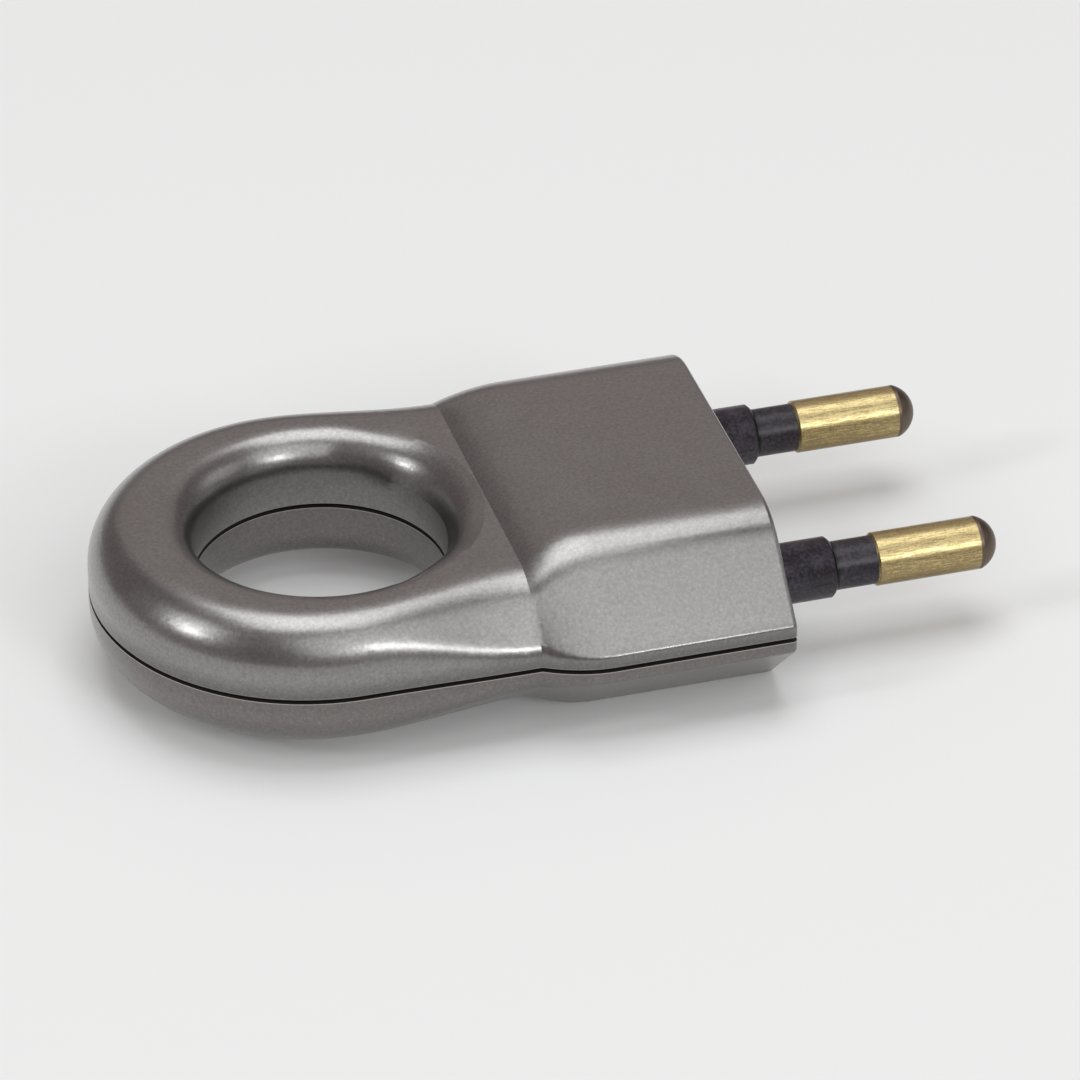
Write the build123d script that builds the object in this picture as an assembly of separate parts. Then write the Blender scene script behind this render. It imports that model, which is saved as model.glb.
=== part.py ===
from build123d import *
import os
from dataclasses import astuple, dataclass
from math import acos, atan2, cos, radians, sin, sqrt, tan

# Flat two-pin plug with a finger ring. Sizes are in millimetres.
# The origin is the middle of the engagement face, on the plane of the two pins.
# +X runs out along the pins, +Y points to the left pin and +Z points up.

# Pins
pin_spacing = 19.0
pin_diameter = 4.0
pin_reach = 18.1
pin_tip_length = 1.4
pin_shoulder_chamfer = 0.15
pin_core_diameter = 3.0

# Terminals on the inner ends of the pins
terminal_diameter = 6.4
terminal_length = 8.0
terminal_chamfer = 0.4
wire_bore_diameter = 2.6
wire_bore_depth = 6.0
terminal_screw_diameter = 3.0
terminal_screw_head_diameter = 4.4
terminal_screw_head_height = 1.3
terminal_screw_head_lift = 0.1
terminal_screw_point = -0.6

# Insulating sleeves on the pins
collar_diameter = 4.6
collar_length = 5.2
collar_end_chamfer = 0.25
sleeve_diameter = 3.66
sleeve_length = 8.45
sleeve_flange_diameter = 6.4
sleeve_flange_thickness = 1.2

# Body of the housing
body_width = 36.0
body_length = 13.8
upper_height = 7.3
lower_height = 6.4
rim_height = 1.1
rim_edge_radius = 0.5
front_edge_radius = 0.4
upper_plateau_width = 23.0
upper_shoulder_radius = 5.7
lower_plateau_width = 25.0
lower_shoulder_radius = 0.6

# Neck between the body and the ring, and its section at the crease behind it
neck_length = 5.2
neck_narrowing = 1.5
neck_sections = 5
crease_rim_height = 1.4
crease_rim_radius = 2.0
crease_plateau_width = 25.0
crease_shoulder_radius = 5.0

# Finger ring
ring_setback = 32.1
ring_outer_radius = 16.3
ring_upper_height = 5.65
ring_lower_height = 5.1
ring_edge_radius = 4.0
limb_sections = 5

# Finger hole, a little ahead of the middle of the ring
hole_lead = 0.9
ring_hole_radius = 9.42
ring_hole_edge_radius = 2.7
ring_crest_width = 0.25

# Crisp lip at the front of the finger hole, on the upper half alone
lip_setback = 0.83
lip_fall = 0.8
lip_sharpness = 0.93
lip_crisp_angle = 32.0
lip_fade_angle = 64.0
rim_sweep_angle = 75.0
rim_sections = 11

# Walls, parting line and the tongue that lines up the two halves
wall = 2.0
front_wall = 2.4
ring_core_height = 2.6
ring_core_shoulder = 1.4
ring_core_step = 0.6
parting_gap = 0.36
parting_gap_depth = 0.8
tongue_setback = 1.1
tongue_rise = 0.7
tongue_clearance = 0.1

# Cradles and bosses inside the housing
cradle_wall = 1.2
boss_radius = 3.4
cord_rib_count = 3
cord_rib_pitch = 4.0
cord_rib_thickness = 1.0
cord_rib_height = 0.6

# Cord inlet at the rear of the left limb
inlet_width = 3.7
inlet_height = 6.0

# Housing screws, driven from below
housing_screw_diameter = 2.5
housing_screw_head_diameter = 4.0
housing_screw_head_height = 1.5
housing_screw_seat = -2.4
housing_screw_tip = 3.4
housing_screw_setback = 8.0

# Screwdriver slots
slot_width = 0.8
slot_depth = 0.7

# Clearances
close_fit = 0.02
sleeve_clearance = 0.1
pocket_clearance = 0.15
end_clearance = 0.1
screw_clearance = 0.15
head_clearance = 0.2
driver_clearance = 0.4
wire_clearance = 0.4

# Values that follow from the sizes above
half_width = body_width / 2
pin_y = pin_spacing / 2
flange_back = -front_wall - sleeve_flange_thickness
terminal_back = flange_back - terminal_length
terminal_screw_x = flange_back - terminal_length / 2
terminal_screw_seat = terminal_diameter / 2 + terminal_screw_head_lift
terminal_screw_top = terminal_screw_seat + terminal_screw_head_height
neck_end = -body_length - neck_length
hole_setback = ring_setback - hole_lead
limb_width = ring_outer_radius - ring_hole_radius
limb_middle = (ring_outer_radius + ring_hole_radius) / 2
ring_root = half_width - neck_narrowing
ring_round = min(ring_edge_radius, limb_width - ring_hole_edge_radius - ring_crest_width)
ring_axis = Axis((-ring_setback, 0, 0), (0, 0, 1))
hole_centre = (-hole_setback, 0, 0)
hole_axis = Axis(hole_centre, (0, 0, 1))
rear_middle = (ring_setback + ring_outer_radius + hole_setback + ring_hole_radius) / 2
housing_screw_spots = [(-housing_screw_setback, 0), (-rear_middle, 0)]

# Share of a round's radius from its corner to where its 45 degree flat would start
corner_reach = 1 - tan(radians(45 / 2))
# Share of the full round in the ring's section, so that a short flat is left between its arcs
round_fullness = 0.98
# Share of a step that a chamfer on it may take up
step_share = 0.95
# Handle length of a curve that follows a quarter circle
circle_handle = 0.5523
# Overrun of the cutting solids, and the distance at which points count as one
over = 1.0
touching = 0.001


@dataclass
class Half:
    """Heights and edges that differ between the two halves of the housing."""

    height: float
    ring_height: float
    plateau_width: float
    shoulder_radius: float
    has_lip: bool


upper = Half(upper_height, ring_upper_height, upper_plateau_width, upper_shoulder_radius, True)
lower = Half(lower_height, ring_lower_height, lower_plateau_width, lower_shoulder_radius, False)


def along_x(x, y=0.0):
    """Plane across X at the given place, with its own axes on Y and Z."""
    return Plane(origin=(x, y, 0), x_dir=(0, 1, 0), z_dir=(1, 0, 0))


def rod(radius, x_start, x_end, y=0.0):
    """Cylinder along X between two places."""
    return extrude(along_x(x_start, y) * Circle(radius), amount=x_end - x_start)


def post(radius, x, y, z_start, z_end):
    """Cylinder along Z between two heights."""
    return extrude(Pos(x, y, z_start) * Circle(radius), amount=z_end - z_start)


def arc_fall(distance, reach, total):
    """Fall of an arc that leaves level and has fallen by total at reach."""
    radius = (reach**2 + total**2) / (2 * total)
    return radius - sqrt(radius**2 - distance**2)


@dataclass
class Section:
    """Section across one half of the housing: its half widths, heights and edge radii."""

    width: float
    height: float
    rim: float
    plateau: float
    rim_radius: float
    shoulder_radius: float

    def face(self, x):
        """Section at a place along X, from the parting plane up, with its edges rounded."""
        points = [(self.width, 0), (self.width, self.rim), (self.plateau, self.height)]
        mirrored = [(-y, z) for y, z in reversed(points)]
        face = make_face(Polyline(*points, *mirrored, close=True))
        face = fillet(face.vertices().group_by(Axis.Y)[-1], self.shoulder_radius)
        rim_corners = [v for v in face.vertices() if abs(v.Y - self.rim) < touching]
        return along_x(x) * fillet(rim_corners, self.rim_radius)

    def towards(self, other, share):
        """Section at a share of the way to another one."""
        pairs = zip(astuple(self), astuple(other))
        return Section(*(start + (end - start) * share for start, end in pairs))


def body_profile(half):
    """Section of the body, with slanted sides."""
    plateau = half.plateau_width / 2
    return Section(half_width, half.height, rim_height, plateau, rim_edge_radius, half.shoulder_radius)


def crease_profile(half):
    """Section at the crease, a lower and narrower form of the body's."""
    return Section(
        ring_root,
        half.ring_height,
        crease_rim_height,
        crease_plateau_width / 2,
        crease_rim_radius,
        crease_shoulder_radius,
    )


def ring_profile(half):
    """Section across the middle of the ring, with full round edges."""
    corner = ring_round * corner_reach
    radius = ring_round * round_fullness
    rim = half.ring_height - corner
    plateau = ring_outer_radius - corner
    return Section(ring_outer_radius, half.ring_height, rim, plateau, radius, radius)


def eased(share):
    """Share that starts and ends level."""
    return share * share * (3 - 2 * share)


def body_block(half):
    """Straight part of the body, with the edge of the engagement face rounded."""
    block = extrude(body_profile(half).face(0), amount=-body_length)
    front = [e for e in block.edges().group_by(Axis.X)[-1] if e.center().Z > touching]
    return fillet(front, front_edge_radius)


def neck_block(half):
    """Neck that leaves the body level and falls away to the crease."""
    body = body_profile(half)
    crease = crease_profile(half)
    shares = [step / (neck_sections - 1) for step in range(neck_sections)]
    return loft([body.towards(crease, s**2).face(-body_length - s * neck_length) for s in shares])


def limb_block(half):
    """Limbs of the ring, from its round section to the slanted one at the crease."""
    ring = ring_profile(half)
    crease = crease_profile(half)
    run = ring_setback + neck_end
    shares = [step / (limb_sections - 1) for step in range(limb_sections)]
    return loft([ring.towards(crease, eased(s)).face(-ring_setback + s * run) for s in shares])


def ring_outline():
    """Plan of the ring, with straight limbs that run past the crease and into the neck."""
    crease = Vector(ring_setback + neck_end, ring_root)
    tangent_angle = atan2(crease.Y, crease.X) + acos(ring_outer_radius / crease.length)
    root_x = neck_end + neck_length / 2
    root_y = ring_root - (root_x - neck_end) / tan(tangent_angle)
    root = Line((root_x, -root_y), (root_x, root_y))
    loop = Pos(-ring_setback, 0) * Circle(ring_outer_radius)
    return make_hull([*loop.edges(), root])


def lip_share(angle):
    """Share of the crisp lip at an angle from the front: 1 in front, 0 at the sides."""
    share = (lip_fade_angle - abs(angle)) / (lip_fade_angle - lip_crisp_angle)
    return eased(min(max(share, 0), 1))


def rim_section(angle, crest_height, share):
    """Radial section of the finger hole: a full round that tightens to a crisp lip."""
    wall_top = Vector(ring_hole_radius, crest_height - ring_hole_edge_radius)
    crest = Vector(ring_hole_radius + ring_hole_edge_radius, crest_height)
    full_corner = Vector(ring_hole_radius, crest_height)
    corner = full_corner + Vector(lip_setback, -lip_fall) * share
    handle = circle_handle + (lip_sharpness - circle_handle) * share
    round_over = Bezier(
        wall_top, wall_top + (corner - wall_top) * handle, crest + (corner - crest) * handle, crest
    )
    inside = ring_hole_radius / 2
    top = upper_height + over
    rest = Polyline(crest, (crest.X, top), (inside, top), (inside, -over), (wall_top.X, -over), wall_top)
    turn = radians(angle)
    radial = Plane(hole_centre, x_dir=(cos(turn), sin(turn), 0), z_dir=(sin(turn), -cos(turn), 0))
    return radial * make_face([round_over, *rest.edges()])


def finger_hole(half):
    """Cutters for one half of the finger hole and its rounded rim, used one after another."""
    core = post(ring_hole_radius - over, -hole_setback, 0, -over, upper_height + over)
    side = rim_section(rim_sweep_angle, half.ring_height, 0)
    if not half.has_lip:
        return [core, revolve(side, axis=hole_axis)]
    rear = revolve(side, axis=hole_axis, revolution_arc=360 - 2 * rim_sweep_angle)
    step = 2 * rim_sweep_angle / (rim_sections - 1)
    angles = [index * step - rim_sweep_angle for index in range(rim_sections)]
    front = loft([rim_section(angle, half.ring_height, lip_share(angle)) for angle in angles])
    return [core, rear, front]


def ring_rear(half):
    """Round rear of the ring, above the parting plane."""
    section = split(ring_profile(half).face(-ring_setback), Plane.XZ, keep=Keep.BOTTOM)
    return revolve(section, axis=ring_axis, revolution_arc=180)


def half_form(half):
    """Outer form of one half of the housing, above the parting plane, with the finger hole."""
    form = body_block(half)
    for piece in (neck_block(half), limb_block(half), ring_rear(half)):
        for cutter in finger_hole(half):
            piece -= cutter
        form += piece
    return form


def outline(inset):
    """Plan of the housing, drawn in by an inset."""
    body = Pos(-body_length / 2, 0) * Rectangle(body_length, body_width)
    start = Vector(-body_length, half_width)
    end = Vector(neck_end, ring_root)
    left = TangentArc(start, end, tangent=(-1, 0))
    right = mirror(left, about=Plane.XZ)
    neck = make_face([left, right, Line(end, (end.X, -end.Y)), Line(start, (start.X, -start.Y))])
    whole = body + neck + ring_outline()
    if inset > 0:
        whole = offset(whole, amount=-inset, kind=Kind.INTERSECTION)
    return whole - Pos(-hole_setback, 0) * Circle(ring_hole_radius + inset)


def slab(face, z_start, z_end):
    """Flat plate from a plan, between two heights."""
    return extrude(Pos(0, 0, z_start) * face, amount=z_end - z_start)


def cradle(side, height):
    """Block that carries a terminal, from the parting plane up to the wall."""
    width = terminal_diameter + 2 * (pocket_clearance + cradle_wall)
    length = sleeve_flange_thickness + terminal_length + end_clearance + cradle_wall
    return Pos(-front_wall - length / 2, side * pin_y, height / 2) * Box(length, width, height)


def cord_ribs():
    """Ribs across the left limb that grip the cord."""
    rib_z = ring_core_height - cord_rib_height / 2
    first = -ring_setback + cord_rib_pitch
    ribs = [
        Pos(first + index * cord_rib_pitch, limb_middle, rib_z)
        * Box(cord_rib_thickness, limb_width - 2 * wall, cord_rib_height)
        for index in range(cord_rib_count)
    ]
    return Part() + ribs


def hollow(half):
    """Space inside one half of the housing, above the parting plane."""
    plateau = half.plateau_width / 2
    slope_run = half_width - plateau
    slope_rise = half.height - rim_height
    slope = sqrt(slope_run**2 + slope_rise**2)
    inner_rim = rim_height - wall * (slope - slope_rise) / slope_run
    inner_plateau = plateau - wall * (slope - slope_run) / slope_rise
    inner_width = half_width - wall
    points = [(inner_width, 0), (inner_width, inner_rim), (inner_plateau, half.height - wall)]
    mirrored = [(-y, z) for y, z in reversed(points)]
    section = along_x(-front_wall) * make_face(Polyline(*points, *mirrored, close=True))
    core_start = -body_length - neck_length / 2
    body = extrude(section, amount=core_start + front_wall)
    behind = Pos(core_start - ring_setback, 0) * Rectangle(2 * ring_setback, 2 * body_width)
    ring = slab(outline(wall) & behind, 0, ring_core_shoulder)
    ring += slab(outline(wall + ring_core_step) & behind, 0, ring_core_height)
    bosses = [post(boss_radius, x, y, 0, half.height) for x, y in housing_screw_spots]
    return body + ring - [cradle(1, half.height), cradle(-1, half.height), *bosses, cord_ribs()]


def pin_pockets():
    """Spaces for the two pins, their sleeves and the wires that reach them."""
    pockets = []
    for side in (1, -1):
        y = side * pin_y
        pocket_back = terminal_back - end_clearance
        pockets.append(rod(collar_diameter / 2 + sleeve_clearance, -front_wall - over, over, y))
        pockets.append(rod(terminal_diameter / 2 + pocket_clearance, pocket_back, -front_wall, y))
        wire_end = pocket_back - cradle_wall - over
        pockets.append(rod(wire_bore_diameter / 2 + wire_clearance, wire_end, pocket_back, y))
    return pockets


def cord_inlet():
    """Upright slot along X through the rear wall of the left limb."""
    slot = SlotOverall(inlet_height, inlet_width, rotation=90)
    return extrude(along_x(-ring_setback, limb_middle) * slot, amount=-ring_outer_radius)


def parting_groove():
    """Half of the shadow gap that runs round the parting line and the finger hole."""
    sheet = Pos(-ring_setback, 0) * Rectangle(4 * ring_setback, 2 * body_width)
    return slab(sheet - outline(parting_gap_depth), 0, parting_gap / 2)


def moulded_half(half):
    """One half of the housing, hollow and cut back for the shadow gap."""
    return half_form(half) - hollow(half) - parting_groove()


def upper_shell():
    """Upper half of the housing, with pilot holes and room for the terminal screws."""
    band = outline(tongue_setback - tongue_clearance) - outline(wall + tongue_clearance)
    seat = slab(band, 0, tongue_rise + tongue_clearance)
    cuts = [seat, cord_inlet(), *pin_pockets()]
    head_room = terminal_screw_head_diameter / 2 + driver_clearance
    head_top = terminal_screw_top + driver_clearance
    for side in (1, -1):
        cuts.append(post(head_room, terminal_screw_x, side * pin_y, 0, head_top))
    for x, y in housing_screw_spots:
        pilot = housing_screw_diameter / 2 + close_fit
        cuts.append(post(pilot, x, y, -over, housing_screw_tip + driver_clearance))
    return moulded_half(upper) - cuts


def lower_shell():
    """Lower half of the housing, with the tongue at its rim and counterbores for the screws."""
    tongue = outline(tongue_setback) - outline(wall - tongue_clearance)
    shell = mirror(moulded_half(lower), about=Plane.XY) + slab(tongue, -tongue_rise, tongue_rise)
    cuts = [cord_inlet(), *pin_pockets()]
    for x, y in housing_screw_spots:
        cuts.append(post(housing_screw_diameter / 2 + screw_clearance, x, y, -lower_height, over))
        counterbore = housing_screw_head_diameter / 2 + head_clearance
        cuts.append(post(counterbore, x, y, -lower_height - over, housing_screw_seat))
    return shell - cuts


def pin(side):
    """Turned brass pin with a domed tip, a reduced core and a terminal at its inner end."""
    radius = pin_diameter / 2
    core = pin_core_diameter / 2
    barrel = terminal_diameter / 2
    shoulder = pin_reach - pin_tip_length
    dome_middle = pin_reach - arc_fall(radius / 2, radius, pin_tip_length)
    dome = ThreePointArc((pin_reach, 0), (dome_middle, radius / 2), (shoulder, radius))
    rest = Polyline(
        (shoulder, radius),
        (sleeve_length + pin_shoulder_chamfer, radius),
        (sleeve_length, radius - pin_shoulder_chamfer),
        (sleeve_length, core),
        (flange_back, core),
        (flange_back, barrel),
        (terminal_back + terminal_chamfer, barrel),
        (terminal_back, barrel - terminal_chamfer),
        (terminal_back, 0),
        (pin_reach, 0),
    )
    turned = revolve(make_face([dome, *rest.edges()]), axis=Axis.X)
    turned -= rod(wire_bore_diameter / 2, terminal_back, terminal_back + wire_bore_depth)
    tapped = terminal_screw_diameter / 2 + close_fit
    turned -= post(tapped, terminal_screw_x, 0, terminal_screw_point - end_clearance, barrel + over)
    return Pos(0, side * pin_y, 0) * turned


def pin_sleeve(side):
    """Moulded sleeve with a thick collar outside and a flange behind the front wall."""
    bore = pin_core_diameter / 2 + close_fit
    collar = collar_diameter / 2
    chamfered = min(collar_end_chamfer, step_share * (collar - sleeve_diameter / 2))
    profile = Polyline(
        (flange_back, bore),
        (flange_back, sleeve_flange_diameter / 2),
        (-front_wall, sleeve_flange_diameter / 2),
        (-front_wall, collar),
        (collar_length - chamfered, collar),
        (collar_length, collar - chamfered),
        (collar_length, sleeve_diameter / 2),
        (sleeve_length, sleeve_diameter / 2),
        (sleeve_length, bore),
        close=True,
    )
    return Pos(0, side * pin_y, 0) * revolve(make_face(profile), axis=Axis.X)


def slotted(head_radius, z):
    """Cutter for a screwdriver slot whose floor lies at the given height."""
    return Pos(0, 0, z + slot_depth / 2) * Box(2 * head_radius + over, slot_width, slot_depth)


def terminal_screw(side):
    """Cheese-head screw that clamps a wire in its terminal."""
    head = terminal_screw_head_diameter / 2
    screw = post(terminal_screw_diameter / 2, 0, 0, terminal_screw_point, terminal_screw_seat)
    screw += post(head, 0, 0, terminal_screw_seat, terminal_screw_top)
    screw -= slotted(head, terminal_screw_top - slot_depth)
    return Pos(terminal_screw_x, side * pin_y, 0) * screw


def housing_screw(x, y):
    """Screw that holds the two shells together, with its head below."""
    head = housing_screw_head_diameter / 2
    head_end = housing_screw_seat - housing_screw_head_height
    screw = post(housing_screw_diameter / 2, 0, 0, housing_screw_seat, housing_screw_tip)
    screw += post(head, 0, 0, head_end, housing_screw_seat)
    screw -= slotted(head, head_end)
    return Pos(x, y, 0) * screw


parts = {
    "upper_shell": upper_shell(),
    "lower_shell": lower_shell(),
    "left_pin": pin(1),
    "right_pin": pin(-1),
    "left_pin_sleeve": pin_sleeve(1),
    "right_pin_sleeve": pin_sleeve(-1),
    "terminal_screws": Compound([terminal_screw(1), terminal_screw(-1)]),
    "housing_screws": Compound([housing_screw(x, y) for x, y in housing_screw_spots]),
}

os.makedirs("parts", exist_ok=True)
for name, shape in parts.items():
    export_step(shape, f"parts/{name}.step")
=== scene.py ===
"""Looks of a flat two-pin plug with a finger ring, built around its solid model.

Sizes are in metres, in the frame of the solid model. The origin is the middle of the
engagement face, +X runs out along the pins, +Y points to the left pin and +Z points up.
"""

from __future__ import annotations

import logging
import math
from abc import ABC, abstractmethod
from dataclasses import dataclass, field
from enum import Enum
from typing import Mapping, Optional, Sequence, Union

import bmesh
import bpy
from mathutils import Matrix, Vector

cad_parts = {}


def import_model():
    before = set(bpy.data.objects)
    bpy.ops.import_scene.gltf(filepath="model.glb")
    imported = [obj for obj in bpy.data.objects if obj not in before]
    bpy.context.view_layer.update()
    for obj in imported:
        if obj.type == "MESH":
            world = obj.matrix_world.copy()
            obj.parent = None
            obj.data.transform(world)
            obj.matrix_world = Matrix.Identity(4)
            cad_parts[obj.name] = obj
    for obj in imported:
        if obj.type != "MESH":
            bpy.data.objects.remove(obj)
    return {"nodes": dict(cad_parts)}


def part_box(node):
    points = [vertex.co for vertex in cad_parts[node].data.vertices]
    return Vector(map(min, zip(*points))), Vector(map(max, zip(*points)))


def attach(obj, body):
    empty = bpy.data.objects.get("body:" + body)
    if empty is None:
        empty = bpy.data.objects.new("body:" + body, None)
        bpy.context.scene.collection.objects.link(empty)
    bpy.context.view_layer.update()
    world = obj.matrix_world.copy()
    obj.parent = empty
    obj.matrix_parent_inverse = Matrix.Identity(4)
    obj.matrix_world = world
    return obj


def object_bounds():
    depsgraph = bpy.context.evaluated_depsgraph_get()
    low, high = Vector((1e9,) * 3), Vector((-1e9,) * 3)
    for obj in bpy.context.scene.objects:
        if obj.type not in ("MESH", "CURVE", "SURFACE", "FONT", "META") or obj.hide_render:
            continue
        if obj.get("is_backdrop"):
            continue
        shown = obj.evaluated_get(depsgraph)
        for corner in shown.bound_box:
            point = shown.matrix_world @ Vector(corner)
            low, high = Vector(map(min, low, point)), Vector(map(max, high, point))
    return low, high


log = logging.getLogger("plug")

Colour = tuple[float, float, float]
Triple = tuple[float, float, float]
Pair = tuple[float, float]

MM: float = 0.001
BODY: str = "root"
NOISE_MIDDLE: float = 0.5
COOL: Colour = (0.965, 1.0, 1.0)
WARM: Colour = (1.09, 0.97, 0.955)

# Places of the colour sockets on a Mix node
MIX_SHARE, MIX_FIRST, MIX_SECOND, MIX_RESULT = 0, 6, 7, 2


class Side(Enum):
    """Side of the plug, as the sign of its place along Y."""

    LEFT = 1
    RIGHT = -1

    @property
    def label(self) -> str:
        """Name of the side, as the nodes are named."""
        return self.name.lower()


class Signal:
    """Output of a node, with the arithmetic that the finishes use."""

    def __init__(self, graph: NodeGraph, socket: bpy.types.NodeSocket) -> None:
        """Keep the socket and the graph that it belongs to."""
        self.graph = graph
        self.socket = socket

    def _maths(self, operation: str, first: Operand, second: Operand) -> Signal:
        """Add one Math node.

        Args:
            operation: Name of the operation.
            first: First operand.
            second: Second operand.

        Returns:
            The result.
        """
        return self.graph.node("ShaderNodeMath", {"operation": operation}, {0: first, 1: second})

    def __add__(self, other: Number) -> Signal:
        """Sum."""
        return self._maths("ADD", self, other)

    def __radd__(self, other: Number) -> Signal:
        """Sum, reflected."""
        return self._maths("ADD", other, self)

    def __sub__(self, other: Number) -> Signal:
        """Difference."""
        return self._maths("SUBTRACT", self, other)

    def __rsub__(self, other: Number) -> Signal:
        """Difference, reflected."""
        return self._maths("SUBTRACT", other, self)

    def __mul__(self, other: Number) -> Signal:
        """Product."""
        return self._maths("MULTIPLY", self, other)

    def __rmul__(self, other: Number) -> Signal:
        """Product, reflected."""
        return self._maths("MULTIPLY", other, self)

    def __abs__(self) -> Signal:
        """Size without its sign."""
        return self.graph.node("ShaderNodeMath", {"operation": "ABSOLUTE"}, {0: self})


Number = Union[Signal, float]
Operand = Union[Signal, float, str, bool, Sequence[float]]


class NodeGraph:
    """Node tree that is filled through one method."""

    def __init__(self, tree: bpy.types.NodeTree) -> None:
        """Start from an empty tree."""
        self.tree = tree
        tree.nodes.clear()

    def node(
        self,
        kind: str,
        settings: Optional[Mapping[str, object]] = None,
        sockets: Optional[Mapping[Union[str, int], Operand]] = None,
        out: Union[str, int] = 0,
    ) -> Optional[Signal]:
        """Add a node.

        Args:
            kind: Type of the node.
            settings: Its own settings, which are set first.
            sockets: Values or links of its sockets, by name or number.
            out: Name or number of the output that is returned.

        Returns:
            The chosen output, or None where the node has none.
        """
        node = self.tree.nodes.new(kind)
        for name, value in (settings or {}).items():
            setattr(node, name, value)
        for key, value in (sockets or {}).items():
            if isinstance(value, Signal):
                self.tree.links.new(value.socket, node.inputs[key])
            else:
                node.inputs[key].default_value = value
        return Signal(self, node.outputs[out]) if len(node.outputs) else None

    def vectors(
        self,
        operation: str,
        first: Operand,
        second: Operand = (0.0, 0.0, 0.0),
        out: str = "Vector",
    ) -> Signal:
        """Add one Vector Math node.

        Args:
            operation: Name of the operation.
            first: First operand.
            second: Second operand, where the operation has one.
            out: Name of the output, which is Value where the result is a number.

        Returns:
            The result.
        """
        operands = {0: first, 1: second}
        return self.node("ShaderNodeVectorMath", {"operation": operation}, operands, out)

    def colours(self, share: Operand, first: Operand, second: Operand) -> Signal:
        """Mix two colours.

        Args:
            share: Share of the second colour.
            first: First colour.
            second: Second colour.

        Returns:
            The resulting colour.
        """
        settings = {"data_type": "RGBA", "clamp_factor": True}
        first, second = (c if isinstance(c, Signal) else (*c, 1.0) for c in (first, second))
        sockets = {MIX_SHARE: share, MIX_FIRST: first, MIX_SECOND: second}
        return self.node("ShaderNodeMix", settings, sockets, out=MIX_RESULT)

    def between(
        self, value: Signal, low: float, high: float, start: float = 0.0, end: float = 1.0
    ) -> Signal:
        """Ease a value from one level to another between two limits.

        Args:
            value: Value that decides.
            low: Where the result starts to change.
            high: Where the result stops changing.
            start: Result at the low limit.
            end: Result at the high limit.

        Returns:
            The eased value.
        """
        limits = {"From Min": low, "From Max": high, "To Min": start, "To Max": end}
        eased = {"interpolation_type": "SMOOTHSTEP"}
        return self.node("ShaderNodeMapRange", eased, {"Value": value, **limits})

    def noise(
        self, place: Signal, grain: Union[float, Sequence[float]], detail: float = 2.0
    ) -> Signal:
        """Add noise of a given grain.

        Args:
            place: Place on the object.
            grain: Size of the grain, or its size along each axis.
            detail: Number of finer layers.

        Returns:
            Noise about one half.
        """
        sizes = (grain,) * 3 if isinstance(grain, float) else grain
        scaled = self.vectors("DIVIDE", place, tuple(sizes))
        layers = {"Vector": scaled, "Scale": 1.0, "Detail": detail}
        return self.node("ShaderNodeTexNoise", {}, layers)

    def place(self) -> Signal:
        """Place on the object, in the frame of the solid model."""
        return self.node("ShaderNodeTexCoord", out="Object")

    def axis(self, place: Signal, name: str) -> Signal:
        """One coordinate of a place, by its axis."""
        return self.node("ShaderNodeSeparateXYZ", {}, {0: place}, out=name)


class Finish(ABC):
    """Surface finish that makes its own node material."""

    name: str

    @abstractmethod
    def surface(self, graph: NodeGraph) -> Signal:
        """Build the shader and return its output."""

    def material(self) -> bpy.types.Material:
        """Make the material.

        Returns:
            The new material.
        """
        material = bpy.data.materials.new(self.name)
        material.use_nodes = True
        graph = NodeGraph(material.node_tree)
        graph.node("ShaderNodeOutputMaterial", {}, {"Surface": self.surface(graph)})
        return material


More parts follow.
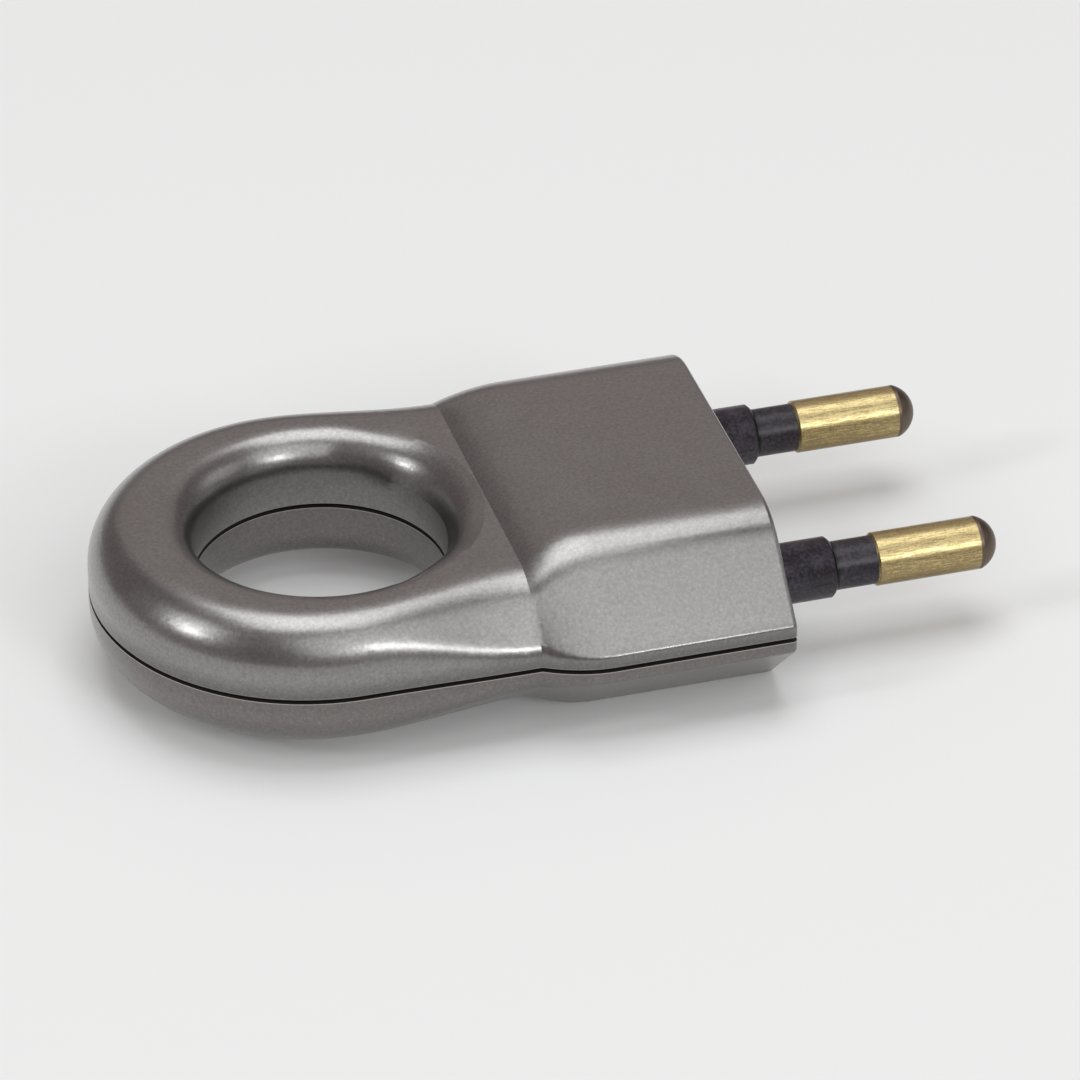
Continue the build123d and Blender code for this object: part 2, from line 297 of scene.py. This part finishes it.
@dataclass(frozen=True)
class SatinLacquer(Finish):
    """Warm grey metallic lacquer with fine flakes under a clear coat.

    It is black inside the shadow gap, with a painted highlight along its edge and a little painted
    shade on the outer rim beside it.
    """

    name: str
    # Share of the painted highlight along the edge of the gap.
    painted_edge_highlight: float
    colour: Colour = (0.264, 0.254, 0.250)
    edge_highlight_colour: Colour = (0.65, 0.60, 0.58)
    spark_colour: Colour = (0.58, 0.56, 0.55)
    gap_colour: Colour = (0.030, 0.024, 0.021)
    metallic: float = 0.95
    roughness: float = 0.31
    coat: float = 0.5
    coat_roughness: float = 0.18
    flake_size: float = 0.09 * MM
    flake_lean: float = 0.045
    spark_share: float = 0.13
    spark_limit: float = 0.90
    grain: float = 0.25 * MM
    grain_share: float = 0.66
    mottle: float = 3.0 * MM
    mottle_share: float = 0.09
    gap_reach: float = 0.182 * MM
    gap_fade: float = 0.003 * MM
    edge_highlight_width: float = 0.09 * MM
    # Painted shade on the outer rim: how high it reaches, how dark it is, and the finger hole that
    # it leaves out.
    rim_painted_shade_height: float = 1.8 * MM
    rim_painted_shade: float = 0.58
    hole_middle: Triple = (-31.2 * MM, 0.0, 0.0)
    hole_reach: float = 11.5 * MM
    hole_fade: float = 1.0 * MM

    def surface(self, graph: NodeGraph) -> Signal:
        """Build the shader.

        Args:
            graph: Graph of the material.

        Returns:
            The shader's output.
        """
        place = graph.place()
        height = abs(graph.axis(place, "Z"))
        in_gap = graph.between(height, self.gap_reach, self.gap_reach + self.gap_fade, 1.0, 0.0)
        cells = {"Vector": place, "Scale": 1.0 / self.flake_size}
        flakes = graph.node("ShaderNodeTexVoronoi", {}, cells, out="Color")
        mottle = (graph.noise(place, self.mottle) - NOISE_MIDDLE) * self.mottle_share
        grain = (graph.noise(place, self.grain) - NOISE_MIDDLE) * self.grain_share
        # The tone holds random grain and mottle, and the painted shade on the outer rim.
        shade = (1.0 + grain + mottle) * self.painted_rim_shade_factor(graph, place, height)

        shades = graph.node("ShaderNodeCombineXYZ", {}, {0: shade, 1: shade, 2: shade})
        colour = graph.vectors("MULTIPLY", shades, self.colour)
        sparks = graph.between(graph.axis(flakes, "X"), self.spark_limit, 1.0)
        colour = graph.colours(sparks * self.spark_share, colour, self.spark_colour)
        # Painted highlight: a thin pale line along the edge of the gap, where a rounded edge would
        # catch the light.
        edge_highlight_end = self.gap_reach + self.edge_highlight_width
        on_edge_highlight = graph.between(height, self.gap_reach, edge_highlight_end, self.painted_edge_highlight, 0.0)
        colour = graph.colours(on_edge_highlight, colour, self.edge_highlight_colour)

        return graph.node(
            "ShaderNodeBsdfPrincipled",
            {},
            {
                "Base Color": graph.colours(in_gap, colour, self.gap_colour),
                "Metallic": self.metallic - in_gap * self.metallic,
                "Roughness": self.roughness + mottle + in_gap * self.roughness,
                "Normal": self.flake_normal(graph, flakes),
                "Coat Weight": self.coat - in_gap * self.coat,
                "Coat Roughness": self.coat_roughness,
            },
        )

    def painted_rim_shade_factor(self, graph: NodeGraph, place: Signal, height: Signal) -> Signal:
        """Factor of painted shade that darkens the outer rim beside the gap, and not the finger
        hole.

        Args:
            graph: Graph of the material.
            place: Place on the object.
            height: Distance from the parting plane.

        Returns:
            The factor.
        """
        near_gap = graph.between(height, self.gap_reach, self.rim_painted_shade_height, 1.0, 0.0)
        from_hole = graph.vectors("DISTANCE", place, self.hole_middle, out="Value")
        outside = graph.between(from_hole, self.hole_reach, self.hole_reach + self.hole_fade)
        return 1.0 - near_gap * outside * (1.0 - self.rim_painted_shade)

    def flake_normal(self, graph: NodeGraph, flakes: Signal) -> Signal:
        """Normal that leans a little from flake to flake.

        Args:
            graph: Graph of the material.
            flakes: Random colour of each flake.

        Returns:
            The normal.
        """
        lean = graph.vectors("SUBTRACT", flakes, (NOISE_MIDDLE,) * 3)
        lean = graph.vectors("MULTIPLY", lean, (self.flake_lean,) * 3)
        normal = graph.node("ShaderNodeNewGeometry", out="Normal")
        return graph.vectors("NORMALIZE", graph.vectors("ADD", normal, lean))


@dataclass(frozen=True)
class DrawnBrass(Finish):
    """Satin brass with fine lines along the pin, painted shade on its underside, and a rougher tip
    painted dark as painted shade.
    """

    name: str
    tip_start: float
    colour: Colour = (0.60, 0.48, 0.24)
    # Colour of the fine lines, also used for the painted shade on the underside.
    streak_and_shade_colour: Colour = (0.31, 0.235, 0.115)
    # Colour of the tip, painted dark as painted shade.
    shaded_tip_colour: Colour = (0.15, 0.115, 0.09)
    roughness: float = 0.34
    tip_roughness: float = 0.42
    tip_fade: float = 0.12 * MM
    streak: Triple = (1.3 * MM, 0.07 * MM, 0.07 * MM)
    streak_detail: float = 3.0
    streak_roughness: float = 0.2
    fleck: Triple = (0.20 * MM, 0.13 * MM, 0.13 * MM)
    fleck_share: float = 0.7
    # Painted shade on the underside: how far it reaches from the middle, and how strong it is.
    underside_shade_depth: float = 2.4 * MM
    underside_shade_share: float = 0.34
    dull_and_shade_limits: Pair = (0.36, 0.80)
    line_depth: float = 0.006 * MM
    line_strength: float = 0.6

    def surface(self, graph: NodeGraph) -> Signal:
        """Build the shader.

        Args:
            graph: Graph of the material.

        Returns:
            The shader's output.
        """
        place = graph.place()
        along, height = graph.axis(place, "X"), graph.axis(place, "Z")
        streaks = graph.noise(place, self.streak, self.streak_detail)
        flecks = (graph.noise(place, self.fleck) - NOISE_MIDDLE) * self.fleck_share
        # Painted shade: the underside of the pin is darker, mixed toward the colour of the fine
        # lines.
        depth = self.underside_shade_depth
        underside_shade = graph.between(height, -depth, depth, self.underside_shade_share, 0.0)
        dull_and_shade = graph.between(streaks + flecks + underside_shade, *self.dull_and_shade_limits)
        # Painted shade: the tip is painted dark, and it is rougher than the rest of the pin.
        on_shaded_tip = graph.between(along, self.tip_start, self.tip_start + self.tip_fade)
        colour = graph.colours(dull_and_shade, self.colour, self.streak_and_shade_colour)
        rough = self.roughness + (streaks - NOISE_MIDDLE) * self.streak_roughness
        lines = {"Height": streaks, "Distance": self.line_depth, "Strength": self.line_strength}
        return graph.node(
            "ShaderNodeBsdfPrincipled",
            {},
            {
                "Base Color": graph.colours(on_shaded_tip, colour, self.shaded_tip_colour),
                "Metallic": 1.0,
                "Roughness": rough + on_shaded_tip * (self.tip_roughness - self.roughness),
                "Normal": graph.node("ShaderNodeBump", {}, lines),
            },
        )


@dataclass(frozen=True)
class MouldedSleeve(Finish):
    """Satin black plastic with a violet cast, a fine mould texture and a painted shadow line at
    its step.
    """

    name: str
    step: float
    # Painted shadow line at the step: its dark core, its width and its colour.
    step_shadow_core: float = 0.15 * MM
    step_shadow_width: float = 0.30 * MM
    step_shadow_colour: Colour = (0.002, 0.002, 0.002)
    colour: Colour = (0.012, 0.009, 0.014)
    pale_colour: Colour = (0.050, 0.040, 0.056)
    pale_limits: Pair = (0.38, 0.66)
    roughness: float = 0.36
    gloss: float = 0.35
    grain: float = 0.24 * MM
    grain_share: float = 0.6
    cloud: float = 1.6 * MM
    cloud_roughness: float = 0.12
    texture_depth: float = 0.010 * MM
    texture_strength: float = 0.7

    def surface(self, graph: NodeGraph) -> Signal:
        """Build the shader.

        Args:
            graph: Graph of the material.

        Returns:
            The shader's output.
        """
        place = graph.place()
        grain = graph.noise(place, self.grain)
        clouds = graph.noise(place, self.cloud)
        patches = grain * self.grain_share + clouds * (1.0 - self.grain_share)
        pale = graph.between(patches, *self.pale_limits)
        colour = graph.colours(pale, self.colour, self.pale_colour)
        # Painted shadow: a near black line where the collar steps down to the sleeve.
        from_step = abs(graph.axis(place, "X") - self.step)
        in_step_shadow = graph.between(from_step, self.step_shadow_core, self.step_shadow_width, 1.0, 0.0)
        texture = {
            "Height": grain,
            "Distance": self.texture_depth,
            "Strength": self.texture_strength,
        }
        return graph.node(
            "ShaderNodeBsdfPrincipled",
            {},
            {
                "Base Color": graph.colours(in_step_shadow, colour, self.step_shadow_colour),
                "Roughness": self.roughness + (clouds - NOISE_MIDDLE) * self.cloud_roughness,
                "Specular IOR Level": self.gloss,
                "Normal": graph.node("ShaderNodeBump", {}, texture),
            },
        )


@dataclass(frozen=True)
class ZincPlate(Finish):
    """Zinc plated steel with a faint cast and fine scratches."""

    name: str
    colour: Colour = (0.60, 0.60, 0.61)
    cast_colour: Colour = (0.62, 0.57, 0.46)
    cast_limits: Pair = (0.40, 0.70)
    roughness: float = 0.30
    cloud: float = 1.2 * MM
    scratch: Triple = (0.05 * MM, 0.6 * MM, 0.6 * MM)
    scratch_roughness: float = 0.25

    def surface(self, graph: NodeGraph) -> Signal:
        """Build the shader.

        Args:
            graph: Graph of the material.

        Returns:
            The shader's output.
        """
        place = graph.place()
        clouds = graph.noise(place, self.cloud)
        scratches = graph.noise(place, self.scratch)
        cast = graph.between(clouds, *self.cast_limits)
        return graph.node(
            "ShaderNodeBsdfPrincipled",
            {},
            {
                "Base Color": graph.colours(cast, self.colour, self.cast_colour),
                "Metallic": 1.0,
                "Roughness": self.roughness + (scratches - NOISE_MIDDLE) * self.scratch_roughness,
            },
        )


@dataclass(frozen=True)
class PaleFloor(Finish):
    """Plain pale floor that looks nearly white and keeps the shadow."""

    name: str = "pale_floor"
    colour: Colour = (0.86, 0.86, 0.86)
    whiteness: float = 0.08

    def surface(self, graph: NodeGraph) -> Signal:
        """Build the shader.

        Args:
            graph: Graph of the material.

        Returns:
            The shader's output.
        """
        seen = [
            graph.node("ShaderNodeLightPath", out=f"Is {ray} Ray")
            for ray in ("Camera", "Glossy", "Transmission")
        ]
        share = (seen[0] + seen[1] + seen[2]) * self.whiteness
        plain = graph.node("ShaderNodeBsdfDiffuse", {}, {"Color": (*self.colour, 1.0)})
        white = graph.node("ShaderNodeEmission", {}, {"Strength": 1.0})
        return graph.node("ShaderNodeMixShader", {}, {0: share, 1: plain, 2: white})


@dataclass(frozen=True)
class SkinShading:
    """Modifier that joins the facets of a solid and shades them smooth up to an edge angle."""

    name: str
    edge_angle: float
    join_distance: float = 0.0005 * MM

    def tree(self) -> bpy.types.NodeTree:
        """Build the modifier's nodes.

        Returns:
            The node group.
        """
        tree = bpy.data.node_groups.new(self.name, "GeometryNodeTree")
        for way in ("INPUT", "OUTPUT"):
            tree.interface.new_socket("Geometry", in_out=way, socket_type="NodeSocketGeometry")
        graph = NodeGraph(tree)
        skin = graph.node("NodeGroupInput")
        joining = {"Geometry": skin, "Distance": self.join_distance}
        skin = graph.node("GeometryNodeMergeByDistance", {}, joining)
        facets = {"Geometry": skin, "Name": "custom_normal"}
        skin = graph.node("GeometryNodeRemoveAttribute", {}, facets)
        smooth = {0: skin, "Shade Smooth": True}
        skin = graph.node("GeometryNodeSetShadeSmooth", {"domain": "FACE"}, smooth)
        angle = graph.node("GeometryNodeInputMeshEdgeAngle", out="Unsigned Angle")
        limit = {"data_type": "FLOAT", "operation": "LESS_THAN"}
        soft = graph.node("FunctionNodeCompare", limit, {0: angle, 1: self.edge_angle})
        edges = {0: skin, "Shade Smooth": soft}
        skin = graph.node("GeometryNodeSetShadeSmooth", {"domain": "EDGE"}, edges)
        graph.node("NodeGroupOutput", {}, {0: skin})
        return tree

    def apply_to(self, objects: Sequence[bpy.types.Object]) -> None:
        """Put the modifier on some objects.

        Args:
            objects: Objects to shade.
        """
        tree = self.tree()
        for shaded in objects:
            modifier = shaded.modifiers.new(self.name, "NODES")
            modifier.node_group = tree


def dress(target: bpy.types.Object, material: bpy.types.Material) -> None:
    """Put one material on a whole object.

    Args:
        target: Object to dress.
        material: Its material.
    """
    if not target.material_slots:
        target.data.materials.append(material)
    for slot in target.material_slots:
        slot.material = material
    log.info("%s wears %s", target.name, material.name)


def new_piece(name: str, mesh: bmesh.types.BMesh) -> bpy.types.Object:
    """Turn a mesh into a piece that rides with the plug.

    Args:
        name: Name of the piece.
        mesh: Its mesh, which is freed.

    Returns:
        The new object.
    """
    bmesh.ops.recalc_face_normals(mesh, faces=mesh.faces)
    data = bpy.data.meshes.new(name)
    mesh.to_mesh(data)
    mesh.free()
    piece = bpy.data.objects.new(name, data)
    bpy.context.scene.collection.objects.link(piece)
    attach(piece, BODY)
    log.info("%s has %d faces", name, len(data.polygons))
    return piece


@dataclass
class Housing:
    """The two moulded shells."""

    nodes: Mapping[str, bpy.types.Object]
    edge_angle: float = math.radians(18.0)
    upper_lacquer: SatinLacquer = SatinLacquer("upper_lacquer", painted_edge_highlight=0.2)
    # Painted shade: the lower shell's lacquer is darker than the upper one, with weaker painted
    # shade on its rim and a stronger painted highlight along the gap's edge.
    shaded_lower_lacquer: SatinLacquer = SatinLacquer(
        "shaded_lower_lacquer", painted_edge_highlight=0.8, rim_painted_shade=0.85, colour=(0.192, 0.178, 0.172)
    )

    def dress(self) -> None:
        """Give both shells their lacquer."""
        upper = self.nodes["upper_shell"]
        lower = self.nodes["lower_shell"]
        SkinShading("shell_shading", self.edge_angle).apply_to([upper, lower])
        dress(upper, self.upper_lacquer.material())
        dress(lower, self.shaded_lower_lacquer.material())


@dataclass
class PinPair:
    """The two brass pins with their sleeves and the seams that moulding left on the sleeves."""

    nodes: Mapping[str, bpy.types.Object]
    tip_length: float = 1.7 * MM
    collar_radius: float = 2.3 * MM
    collar_end: float = 5.2 * MM
    collar_chamfer: float = 0.25 * MM
    sleeve_radius: float = 1.83 * MM
    seam_width: float = 0.11 * MM
    seam_height: float = 0.035 * MM
    seam_sink: float = 0.03 * MM
    seam_shoulder: Pair = (0.5, 0.8)
    pin_edge_angle: float = math.radians(15.0)
    sleeve_edge_angle: float = math.radians(60.0)

    def dress(self) -> None:
        """Give the pins and sleeves their finishes and add the seams."""
        pins = [self.nodes[f"{side.label}_pin"] for side in Side]
        sleeves = [self.nodes[f"{side.label}_pin_sleeve"] for side in Side]
        SkinShading("pin_shading", self.pin_edge_angle).apply_to(pins)
        SkinShading("sleeve_shading", self.sleeve_edge_angle).apply_to(sleeves)
        tip_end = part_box("left_pin")[1].x
        brass = DrawnBrass("drawn_brass", tip_start=tip_end - self.tip_length).material()
        black = MouldedSleeve("moulded_sleeve", step=self.collar_end).material()
        for pin in pins:
            dress(pin, brass)
        for sleeve in sleeves:
            dress(sleeve, black)
        for pin_side in Side:
            for seam_side in Side:
                dress(self.seam(pin_side, seam_side), black)

    def seam_path(self, end: float) -> list[Pair]:
        """Line of a seam along a sleeve.

        Args:
            end: Where the sleeve ends.

        Returns:
            Places along the pin, each with the sleeve's radius there.
        """
        chamfered = self.collar_radius - self.collar_chamfer
        return [
            (0.0, self.collar_radius),
            (self.collar_end - self.collar_chamfer, self.collar_radius),
            (self.collar_end, chamfered),
            (self.collar_end, self.sleeve_radius),
            (end, self.sleeve_radius),
        ]

    def seam_section(self) -> list[Pair]:
        """Section of a seam.

        Returns:
            Places across the seam, each with its rise above the sleeve.
        """
        half = self.seam_width / 2
        place, share = self.seam_shoulder
        flank = [(half, -self.seam_sink), (half * place, self.seam_height * share)]
        mirrored = [(-across, rise) for across, rise in flank]
        return [*mirrored, (0.0, self.seam_height), *reversed(flank)]

    def seam(self, pin_side: Side, seam_side: Side) -> bpy.types.Object:
        """Build the thin ridge on one side of a sleeve.

        Args:
            pin_side: Pin that carries the sleeve.
            seam_side: Side of the sleeve that the ridge is on.

        Returns:
            The ridge.
        """
        low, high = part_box(f"{pin_side.label}_pin_sleeve")
        middle = (low.y + high.y) / 2
        section = self.seam_section()
        mesh = bmesh.new()
        rows = []
        for along, radius in self.seam_path(high.x):
            row = [
                mesh.verts.new((along, middle + seam_side.value * (radius + rise), across))
                for across, rise in section
            ]
            rows.append(row)
        for first, second in zip(rows, rows[1:]):
            for index in range(len(section)):
                after = (index + 1) % len(section)
                mesh.faces.new((first[index], first[after], second[after], second[index]))
        mesh.faces.new(rows[0])
        mesh.faces.new(rows[-1])
        return new_piece(f"{pin_side.label}_sleeve_seam_{seam_side.label}", mesh)


@dataclass
class Fixings:
    """The screws that clamp the wires and hold the shells together."""

    nodes: Mapping[str, bpy.types.Object]
    edge_angle: float = math.radians(25.0)

    def dress(self) -> None:
        """Give the screws their plating."""
        screws = [self.nodes["terminal_screws"], self.nodes["housing_screws"]]
        SkinShading("screw_shading", self.edge_angle).apply_to(screws)
        plating = ZincPlate("zinc_plate").material()
        for screw in screws:
            dress(screw, plating)


@dataclass(frozen=True)
class SoftBox:
    """Rectangular soft light that faces the plug."""

    name: str
    towards: Triple
    width: float
    height: float
    radiance: float
    distance: float = 1.0
    tint: Colour = COOL

    def place(self) -> None:
        """Add the light."""
        light = bpy.data.lights.new(self.name, "AREA")
        light.shape = "RECTANGLE"
        light.size = self.width
        light.size_y = self.height
        light.color = self.tint
        light.energy = self.radiance * math.pi * self.width * self.height
        lamp = bpy.data.objects.new(self.name, light)
        direction = Vector(self.towards).normalized()
        lamp.location = direction * self.distance
        lamp.rotation_euler = direction.to_track_quat("Z", "Y").to_euler()
        bpy.context.scene.collection.objects.link(lamp)
        log.info("%s gives light", self.name)


@dataclass
class Studio:
    """Floor, lights and surroundings."""

    floor_height: float
    floor_size: float = 8.0
    surroundings: float = 0.19
    tint: Colour = (1.10, 0.965, 0.95)
    boxes: Sequence[SoftBox] = field(
        default_factory=lambda: (
            SoftBox("front_box", (0.15, -0.70, 0.70), width=0.90, height=0.80, radiance=1.30),
            SoftBox("front_lamp", (0.27, -0.83, 0.48), width=0.19, height=0.19, radiance=10.7),
            SoftBox("left_box", (-0.74, -0.03, 0.67), width=0.30, height=0.30, radiance=2.95),
            SoftBox("left_lamp", (-0.86, -0.12, 0.50), width=0.12, height=0.12, radiance=25.0),
            SoftBox("overhead_box", (0.02, 0.12, 0.99), width=0.68, height=0.68, radiance=2.95),
            SoftBox(
                "back_box", (0.20, 0.76, 0.62), width=1.20, height=0.85, radiance=0.22, tint=WARM
            ),
            SoftBox("right_box", (0.85, -0.20, 0.48), width=0.60, height=0.50, radiance=0.70),
        )
    )

    def build(self) -> None:
        """Set up the floor, the lights and the surroundings."""
        self.lay_floor()
        for soft_box in self.boxes:
            soft_box.place()
        self.surround()
        bpy.context.scene.view_settings.view_transform = "Standard"

    def lay_floor(self) -> None:
        """Lay the floor under the plug."""
        mesh = bmesh.new()
        bmesh.ops.create_grid(mesh, x_segments=1, y_segments=1, size=self.floor_size / 2)
        data = bpy.data.meshes.new("floor")
        mesh.to_mesh(data)
        mesh.free()
        floor = bpy.data.objects.new("floor", data)
        floor.location.z = self.floor_height
        bpy.context.scene.collection.objects.link(floor)
        floor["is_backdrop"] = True
        dress(floor, PaleFloor().material())

    def surround(self) -> None:
        """Put even, faint light all round."""
        world = bpy.data.worlds.new("surroundings")
        world.use_nodes = True
        graph = NodeGraph(world.node_tree)
        grey = {"Color": (*self.tint, 1.0), "Strength": self.surroundings}
        surface = graph.node("ShaderNodeBackground", {}, grey)
        graph.node("ShaderNodeOutputWorld", {}, {"Surface": surface})
        bpy.context.scene.world = world


@dataclass(frozen=True)
class PhotoCamera:
    """Camera at the photograph's viewing angle, with the plug at its place in the frame."""

    azimuth: float = math.radians(-16.42)
    elevation: float = math.radians(33.39)
    distance: float = 555.3 * MM
    frame_pixels: float = 1080.0
    pixels_per_metre: float = 13.36 / MM
    origin_pixel: Pair = (723.8, 509.8)
    sensor: float = 36.0
    near_limit: float = 0.01
    far_limit: float = 20.0

    def place(self) -> None:
        """Add the camera and make it the scene's own."""
        flat = math.cos(self.elevation)
        back = Vector(
            (
                math.sin(self.azimuth) * flat,
                -math.cos(self.azimuth) * flat,
                math.sin(self.elevation),
            )
        )
        right = Vector((math.cos(self.azimuth), math.sin(self.azimuth), 0.0))
        up = back.cross(right)
        middle = self.frame_pixels / 2
        aside = (self.origin_pixel[0] - middle) / self.pixels_per_metre
        above = (middle - self.origin_pixel[1]) / self.pixels_per_metre
        location = back * self.distance - right * aside - up * above

        data = bpy.data.cameras.new("photo_camera")
        data.sensor_width = self.sensor
        data.lens = self.pixels_per_metre * self.distance * self.sensor / self.frame_pixels
        data.clip_start = self.near_limit
        data.clip_end = self.far_limit
        camera = bpy.data.objects.new("photo_camera", data)
        axes = Matrix((right, up, back)).transposed()
        camera.matrix_world = Matrix.Translation(location) @ axes.to_4x4()
        bpy.context.scene.collection.objects.link(camera)
        bpy.context.scene.camera = camera
        log.info("camera stands at %s", [round(value, 4) for value in location])


def main() -> None:
    """Load the solid model, dress it and set up the studio."""
    logging.basicConfig(level=logging.INFO, format="%(name)s: %(message)s")
    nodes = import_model()["nodes"]
    solid_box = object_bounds()
    Housing(nodes).dress()
    PinPair(nodes).dress()
    Fixings(nodes).dress()
    Studio(floor_height=solid_box[0].z).build()
    PhotoCamera().place()


if __name__ == "__main__":
    main()
